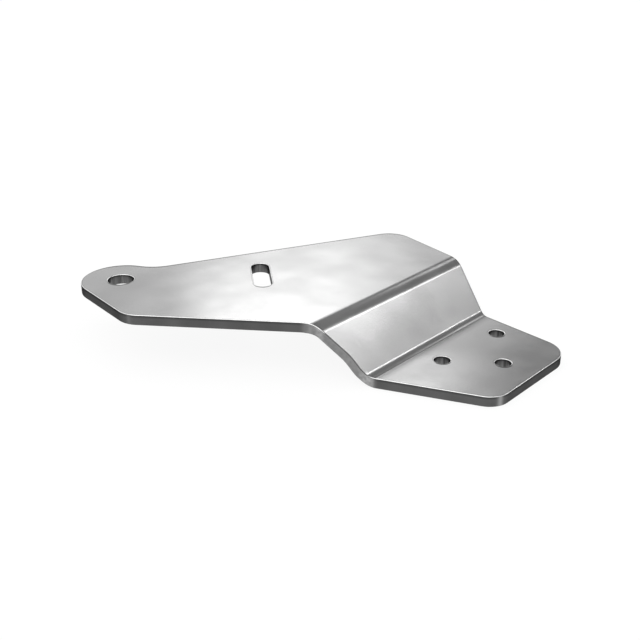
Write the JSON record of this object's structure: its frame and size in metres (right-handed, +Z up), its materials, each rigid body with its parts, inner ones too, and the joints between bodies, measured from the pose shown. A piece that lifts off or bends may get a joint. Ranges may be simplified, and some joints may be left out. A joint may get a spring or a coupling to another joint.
{
  "type": "mounting bracket",
  "caption": "Folded steel plate bracket: a long arm with a round drilled tip and a slanted slot, stepped down by two bends to a flange with bolt holes.",
  "frame": {"origin": "on the underside of the flange, in the middle of its three bolt holes", "axes": "+Z up, square to the flange and out of its top face; X across the bends, with the arm towards -X; Y along the bends"},
  "size_m": [0.2388, 0.1976, 0.0325],
  "materials": {
    "steel": "satin mill-finished steel plate with deburred edges"
  },
  "bodies": {
    "root": {"bracket": "steel"}
  },
  "joints": []
}
